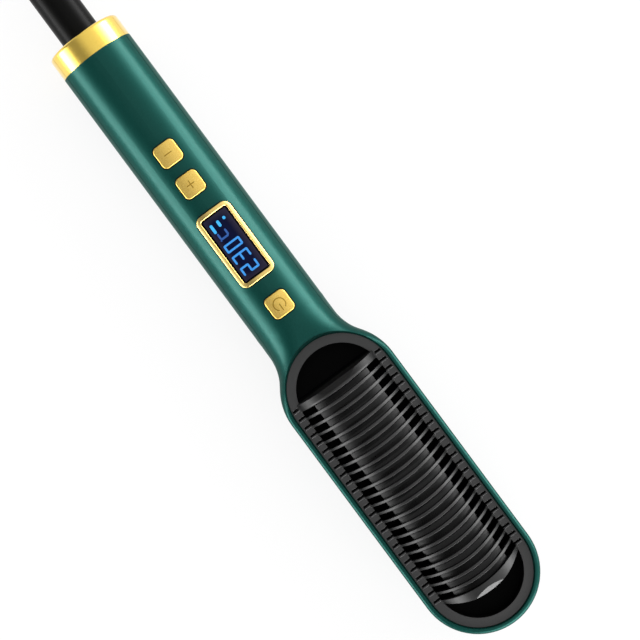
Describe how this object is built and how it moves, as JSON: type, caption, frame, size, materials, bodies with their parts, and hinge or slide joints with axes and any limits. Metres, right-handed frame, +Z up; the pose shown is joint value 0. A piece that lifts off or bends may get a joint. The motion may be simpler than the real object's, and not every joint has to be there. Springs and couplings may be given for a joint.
{
  "type": "hair straightening comb",
  "caption": "Heated hair straightening comb: round handle with push buttons and a display, long rounded head with arched comb teeth over a heating plate, mains cord on a swivel.",
  "frame": {"origin": "under the middle of the comb and its strain relief, on the surface that its back lies on", "axes": "+X along the handle towards the tip of the head, +Y across it, +Z up, out of the comb face"},
  "size_m": [0.6644, 0.052, 0.0373],
  "materials": {
    "green_paint": "satin metallic lacquer on moulded plastic",
    "gold": "gold-metallised plastic, satin",
    "sleeve_plastic": "fine satin moulding",
    "comb_plastic": "heat-resistant moulding, satin",
    "plate_coating": "black ceramic coating on aluminium",
    "black_rubber": "smooth PVC",
    "pin_metal": "nickel-plated",
    "dark_lens": "smoked acrylic",
    "inner_plastic": "plain moulding",
    "board": "glass-epoxy laminate with green mask",
    "component_black": "moulded case",
    "component_yellow": "moulded case",
    "glass_fuse": "clear glass",
    "brass": "plain",
    "steel": "zinc-plated",
    "ceramic": "sintered alumina",
    "mica": "pressed mica sheet",
    "lead_insulation": "silicone insulation"
  },
  "bodies": {
    "handle": {"front_housing": "green_paint", "back_housing": "green_paint", "housing_screws": "steel", "gold_collar": "gold", "swivel_bearing": "inner_plastic", "brush_contacts": "brass", "cord_lead": "black_rubber", "cord_hank": "black_rubber", "cord_tie": "black_rubber", "cord_tail": "black_rubber", "plug_body": "black_rubber", "plug_pins": "pin_metal", "display_frame": "gold", "display_lens": "dark_lens", "display_module": "inner_plastic", "control_board": "board", "power_board": "board", "mains_fuse": "glass_fuse", "film_capacitor": "component_yellow", "electrolytic_capacitor": "component_black", "triac": "component_black", "board_header": "component_black", "comb_frame": "comb_plastic", "heater_plate": "plate_coating", "ceramic_heaters": "ceramic", "mica_sheet": "mica", "pressure_spring": "steel", "heater_tray": "comb_plastic", "tray_screws": "steel", "thermistor": "glass_fuse", "thermal_fuse": "steel", "brush_leads": "lead_insulation", "heater_leads": "lead_insulation", "minus_switch": "component_black", "plus_switch": "component_black", "power_switch": "component_black"},
    "swivel": {"swivel_sleeve": "sleeve_plastic", "contact_rings": "brass", "strain_relief": "black_rubber"},
    "minus_button": {"minus_button": "gold", "minus_plunger": "component_black"},
    "plus_button": {"plus_button": "gold", "plus_plunger": "component_black"},
    "power_button": {"power_button": "gold", "power_plunger": "component_black"}
  },
  "joints": [
    {"name": "cord_swivel", "type": "hinge", "parent": "handle", "child": "swivel", "pos_m": [-0.1077, 0, 0.016], "axis": [1, 0, 0], "continuous": true},
    {"name": "minus_press", "type": "slide", "parent": "handle", "child": "minus_button", "axis": [0, 0, -1], "range_m": [0, 0.0005], "stiffness_N_per_m": 300},
    {"name": "plus_press", "type": "slide", "parent": "handle", "child": "plus_button", "axis": [0, 0, -1], "range_m": [0, 0.0005], "stiffness_N_per_m": 300},
    {"name": "power_press", "type": "slide", "parent": "handle", "child": "power_button", "axis": [0, 0, -1], "range_m": [0, 0.0005], "stiffness_N_per_m": 300}
  ]
}
